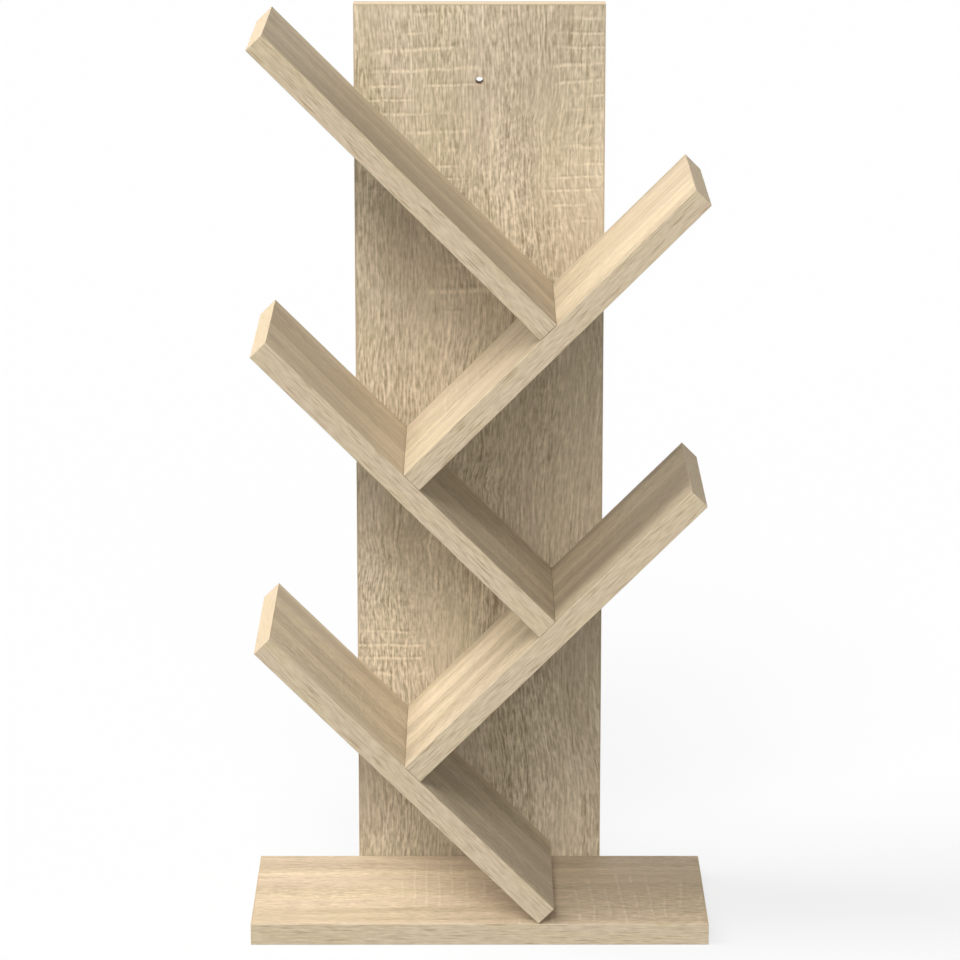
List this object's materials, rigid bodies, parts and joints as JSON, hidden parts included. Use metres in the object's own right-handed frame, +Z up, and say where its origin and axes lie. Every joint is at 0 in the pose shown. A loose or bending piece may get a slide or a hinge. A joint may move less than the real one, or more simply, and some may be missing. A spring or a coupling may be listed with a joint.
{
  "type": "tree shaped bookshelf",
  "caption": "Narrow free-standing bookshelf: shelves leaning left and right in turn on an upright back panel over a flat base board, in light oak look.",
  "frame": {"origin": "middle of the outline on the floor, halfway between the front of the base and the back of the panel", "axes": "+Z up along the back panel, -Y towards the front, +X to the right as seen from the front"},
  "size_m": [0.4, 0.2, 0.8],
  "materials": {
    "oak_board": "melamine-faced particle board in a light sawn-oak decor, satin, with fine pores",
    "oak_band": "edge band in the board's decor, satin",
    "zinc_screw": "bright zinc-plated steel",
    "beech_dowel": "plain turned beech"
  },
  "bodies": {
    "root": {"back_panel": "oak_board", "base_board": "oak_board", "shelf_left_bottom": "oak_board", "shelf_right_bottom": "oak_board", "shelf_left_middle": "oak_board", "shelf_right_top": "oak_board", "shelf_left_top": "oak_board", "panel_top_band": "oak_band", "panel_left_band": "oak_band", "panel_right_band": "oak_band", "base_front_band": "oak_band", "base_back_band": "oak_band", "base_left_band": "oak_band", "base_right_band": "oak_band", "shelf_left_bottom_toe_band": "oak_band", "shelf_left_bottom_back_band": "oak_band", "shelf_left_bottom_end_band": "oak_band", "shelf_left_bottom_front_band": "oak_band", "shelf_right_bottom_back_band": "oak_band", "shelf_right_bottom_end_band": "oak_band", "shelf_right_bottom_front_band": "oak_band", "shelf_left_middle_back_band": "oak_band", "shelf_left_middle_end_band": "oak_band", "shelf_left_middle_front_band": "oak_band", "shelf_right_top_back_band": "oak_band", "shelf_right_top_end_band": "oak_band", "shelf_right_top_front_band": "oak_band", "shelf_left_top_back_band": "oak_band", "shelf_left_top_end_band": "oak_band", "shelf_left_top_front_band": "oak_band", "base_back_screw_1": "zinc_screw", "base_back_screw_2": "zinc_screw", "base_back_screw_3": "zinc_screw", "shelf_left_bottom_back_screw_1": "zinc_screw", "shelf_left_bottom_back_screw_2": "zinc_screw", "shelf_right_bottom_back_screw_1": "zinc_screw", "shelf_right_bottom_back_screw_2": "zinc_screw", "shelf_left_middle_back_screw_1": "zinc_screw", "shelf_left_middle_back_screw_2": "zinc_screw", "shelf_right_top_back_screw_1": "zinc_screw", "shelf_right_top_back_screw_2": "zinc_screw", "shelf_left_top_back_screw_1": "zinc_screw", "shelf_left_top_back_screw_2": "zinc_screw", "shelf_right_bottom_toe_screw_1": "zinc_screw", "shelf_right_bottom_toe_screw_2": "zinc_screw", "shelf_left_middle_toe_screw_1": "zinc_screw", "shelf_left_middle_toe_screw_2": "zinc_screw", "shelf_right_top_toe_screw_1": "zinc_screw", "shelf_right_top_toe_screw_2": "zinc_screw", "shelf_left_top_toe_screw_1": "zinc_screw", "shelf_left_top_toe_screw_2": "zinc_screw", "base_dowel_1": "beech_dowel", "base_dowel_2": "beech_dowel", "shelf_left_bottom_dowel_1": "beech_dowel", "shelf_right_bottom_dowel_1": "beech_dowel", "shelf_left_middle_dowel_1": "beech_dowel", "shelf_right_top_dowel_1": "beech_dowel", "shelf_left_top_dowel_1": "beech_dowel"}
  },
  "joints": []
}
